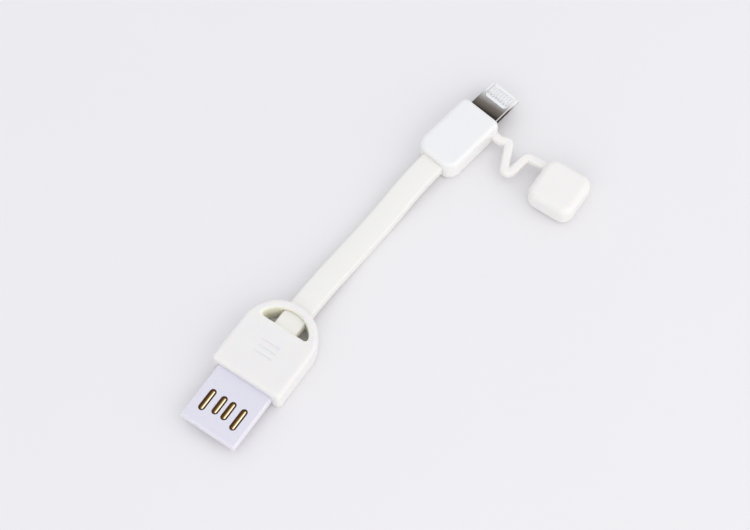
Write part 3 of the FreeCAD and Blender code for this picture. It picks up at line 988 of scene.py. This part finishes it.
head_room = bar(room_half, room_rear, room_front, head_middle, room_rise)
plug_way = bar(plug_width / 2 + seat_gap, plug_way_rear, cut_past,
               head_middle, plug_thickness / 2 + seat_gap)
soften(plug_way, edges_along(plug_way, ALONG), plug_corner + seat_gap, 5)
cable_way = cable_tunnel(head_gap, -head_length - cut_past, cable_way_end, head_middle)
head = carve(head, head_room, plug_way, cable_way)
keep(head, "plug_head", head_white, ["head_housing"], head_frame)

# %% [markdown]
# ## The phone plug
#
# The plug fits two kinds of phone. A thin steel sleeve has its two lower corners cut off, as one of
# the two sockets asks, and a window in its top holds a white pad with eight contacts for the other.
# The sleeve is an outer bar with a smaller bar and the window's outline cut out of it, which keeps
# its wall even. The pad's contacts lie in pockets, a little below its face.

# %% The steel sleeve
plug_inset = 4.2
plug_top = head_middle + plug_thickness / 2
plug_chamfer = 0.7
chamfer_growth = 0.59
sleeve_wall = 0.3
hollow_corner = 0.12
mouth_rim = 0.07
pad_half = 2.65
pad_rear = 3.0
pad_corner = 0.7
pad_depth = 0.5


def plug_bar(grow, y0, y1, corner):
    """A bar with the plug's section, enlarged all round by grow."""
    shape = bar(plug_width / 2 + grow, y0, y1, head_middle, plug_thickness / 2 + grow)
    lower = [e for e in edges_along(shape, ALONG) if e.verts[0].co.z < head_middle]
    soften(shape, lower, plug_chamfer + chamfer_growth * grow, 1)
    return soften(shape, edges_along(shape, ALONG), corner, 5)


def pad_prism(grow, high):
    """The pad's outline, with rounded rear corners."""
    low = plug_top - pad_depth
    shape = block(-pad_half - grow, pad_half + grow, pad_rear - grow, plug_reach + grow, low, high)
    rear = [e for e in edges_along(shape, UP) if e.verts[0].co.y < pad_rear + slack]
    return soften(shape, rear, pad_corner + grow, 6)


sleeve = plug_bar(0.0, -plug_inset, plug_reach, plug_corner)
hollow = plug_bar(-sleeve_wall, -plug_inset - cut_past, plug_reach + cut_past, hollow_corner)
sleeve = carve(sleeve, hollow, pad_prism(seat_gap, plug_top + cut_past))
soften(sleeve, edges_at(sleeve, ALONG, plug_reach), mouth_rim, 2)
keep(sleeve, "steel_sleeve", plug_steel, ["plug_sleeve"], head_frame)

# %% The contact pad and its eight contacts
pad_contact_count = 8
pad_contact_pitch = 0.64
pad_contact_width = 0.34
pad_contact_rim = 0.03
pocket_width = 0.40
pocket_rear = 3.65
pocket_front = 6.0
pocket_floor = plug_top - 0.18
plate_low = plug_top - 0.17
plate_high = plug_top - 0.05
pad_rim = 0.06

pad = pad_prism(0.0, plug_top)
soften(pad, edges_at(pad, UP, plug_top), pad_rim, 2)
pockets = []
for i in range(pad_contact_count):
    x = pad_contact_pitch * (i - (pad_contact_count - 1) / 2)
    pockets.append(pill(x, pocket_rear, pocket_front, pocket_width, pocket_floor, plug_top + cut_past))
    plate = pill(x, pocket_rear + seat_gap, pocket_front - seat_gap, pad_contact_width, plate_low, plate_high)
    soften(plate, edges_at(plate, UP, plate_high), pad_contact_rim, 2)
    name = f"pad_contact_{i + 1}"
    keep(plate, "gold_" + name, pad_gold, [name], head_frame)
pad = carve(pad, *pockets)
keep(pad, "white_pad", pad_white, ["contact_pad"], head_frame)

# %% [markdown]
# ## The dust cap and its strap
#
# The cap and the strap are one soft moulding. The strap zigzags so that it can stretch, and it flows
# into the cap with no edge between them. A Boolean would leave a hard line there, so a block and a
# carried section are put together, and a voxel remesh melts them into one skin, which a few rounds of
# smoothing even out. The cap has a mouth for the plug and a fine groove near its closed end. The
# strap's root stays on the head while the cap swings.

# %% The cap's block
cap_width = 9.8
cap_length = 10.0
cap_height = 5.0
cap_level = cap_height / 2
cap_corner = 2.3
cap_edge = 1.5
mouth_half = 3.6
mouth_rise = 1.125
mouth_depth = 7.0
mouth_corner = 0.6
mouth_end = cap_length / 2
closed_end = -cap_length / 2
groove_depth = 0.15
groove_start = closed_end + 1.0
groove_end = closed_end + 1.3
groove_core_end = closed_end + 2.0
cap_centre = (22.0, -3.1, 0.0)
cap_turn = math.radians(8.5)

cap = bar(cap_width / 2, closed_end, mouth_end, cap_level, cap_level)
soften(cap, edges_along(cap, UP), cap_corner, 10)
soften(cap, edges_at(cap, UP, 0.0, cap_height), cap_edge, 10)
cap_room = bar(mouth_half, mouth_end - mouth_depth, mouth_end + cut_past, cap_level, mouth_rise)
soften(cap_room, edges_along(cap_room, ALONG), mouth_corner, 5)
ring = bar(cap_width, groove_start, groove_end, cap_level, 1.5 * cap_height)
ring_core = bar(cap_width / 2 - groove_depth, closed_end, groove_core_end,
                cap_level, cap_level - groove_depth)
soften(ring_core, edges_along(ring_core, ALONG), cap_edge - groove_depth, 8)
cap = carve(cap, carve(ring, ring_core), cap_room)
cap_place = Matrix.Translation(cap_centre) @ Matrix.Rotation(cap_turn, 4, "Z")
bmesh.ops.transform(cap, matrix=cap_place, verts=cap.verts)
print("cap block:", len(cap.faces), "faces")

# %% The strap
strap_width = 1.72
strap_height = 1.68
strap_corner = 0.5
strap_side = -2.3
strap_points = [
    (4.2, strap_side), (5.7, strap_side), (6.35, strap_side), (6.95, -1.95), (7.9, -1.4), (8.76, -2.83),
    (10.58, -5.86), (11.24, -6.96), (12.47, -6.63), (12.51, -5.35), (12.57, -2.93), (12.61, -1.6),
    (13.91, -1.32), (17.8, -0.48),
]
strap_line = smooth_line([(x, y, cap_level) for x, y in strap_points], steps=14)
strap = carry(section(strap_width, strap_height, strap_corner, 4), strap_line)
print("strap:", len(strap.faces), "faces along", len(strap_line), "points")

# %% Melt them into one moulding
smoothing_rounds = 4
soft_crease = 80.0

strap_object = as_object(strap, "strap")
cap.from_mesh(strap_object.data)
bpy.data.objects.remove(strap_object)
moulding = as_object(cap, "moulding")
melt = moulding.modifiers.new("melt", "REMESH")
melt.mode = "VOXEL"
melt.voxel_size = 0.11
moulded = settled(moulding)
for _ in range(smoothing_rounds):
    bmesh.ops.smooth_vert(moulded, verts=moulded.verts, factor=0.5,
                          use_axis_x=True, use_axis_y=True, use_axis_z=True)
soft_cap = place_piece(moulded, "soft_cap", cap_white, ["dust_cap"], head_frame, soft_crease)
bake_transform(soft_cap)

# %% [markdown]
# ## Table and light
#
# The photograph is high-key: a white table, soft lamps and a pale surround. The table is a wide plane
# with a cool white. A sun would draw hard shadows, so two broad area lamps are used. The key lamp
# stands at the right, towards the front, and gives the bright right sides and the soft shadows on the
# left. The front lamp stands low on the camera's side and lightens the faces that look that way. A
# pale world, brighter overhead than at the horizon, fills the rest, so that whites stay just below
# clipping.

# %% Table
table_reach = 2.0
patch_size = 30.0 * MM
table = bmesh.new()
bmesh.ops.create_grid(table, x_segments=1, y_segments=1, size=table_reach)
floor = as_object(table, "table_top")
floor_finish = Finish("table_white", {"Roughness": 0.7, "IOR": 1.4})
patches = floor_finish.noise(patch_size, 2.0)
floor_colour = floor_finish.blend(patches, (0.826, 0.813, 0.822), (0.836, 0.823, 0.832))
floor.data.materials.append(floor_finish.surface(base_color=floor_colour))
print("table:", 2 * table_reach, "metres wide")

# %% Lamps
right_hand = Vector((math.cos(view_azimuth), math.sin(view_azimuth), 0.0))
ahead = Vector((-math.sin(view_azimuth), math.cos(view_azimuth), 0.0))


def soft_lamp(name, direction, elevation, distance, size, power, colour):
    """A square lamp that looks at the middle of the object."""
    lamp = bpy.data.lights.new(name, "AREA")
    lamp.size = size
    lamp.energy = power
    lamp.color = colour
    holder = bpy.data.objects.new(name, lamp)
    lifted = direction.normalized() * math.cos(elevation) + Vector((0.0, 0.0, math.sin(elevation)))
    holder.location = aim + lifted * distance
    holder.rotation_euler = (-lifted).to_track_quat("-Z", "Y").to_euler()
    bpy.context.scene.collection.objects.link(holder)
    print(name, "at", [round(c, 3) for c in holder.location])


soft_lamp("key_lamp", right_hand - ahead * 0.5, elevation=math.radians(32.0), distance=0.7, size=0.7,
          power=1.1, colour=(1.0, 0.98, 0.93))
soft_lamp("front_lamp", right_hand * -0.1 - ahead, elevation=math.radians(26.0), distance=1.0, size=1.0,
          power=1.4, colour=(1.0, 0.99, 1.0))

# %% A surround that is brighter overhead
horizon = (0.71, 0.72, 0.747)
overhead = (0.985, 0.997, 1.032)
world = bpy.data.worlds.new("pale_surround")
world.use_nodes = True
surround = Nodes(world.node_tree)
height = surround.axis(surround.node("ShaderNodeTexCoord", out="Generated"), "Z")
tent = surround.blend(height, horizon, overhead)
surround.feed(world.node_tree.nodes["Background"].inputs["Color"], tent)
bpy.context.scene.world = world
print("surround from", horizon, "to", overhead)
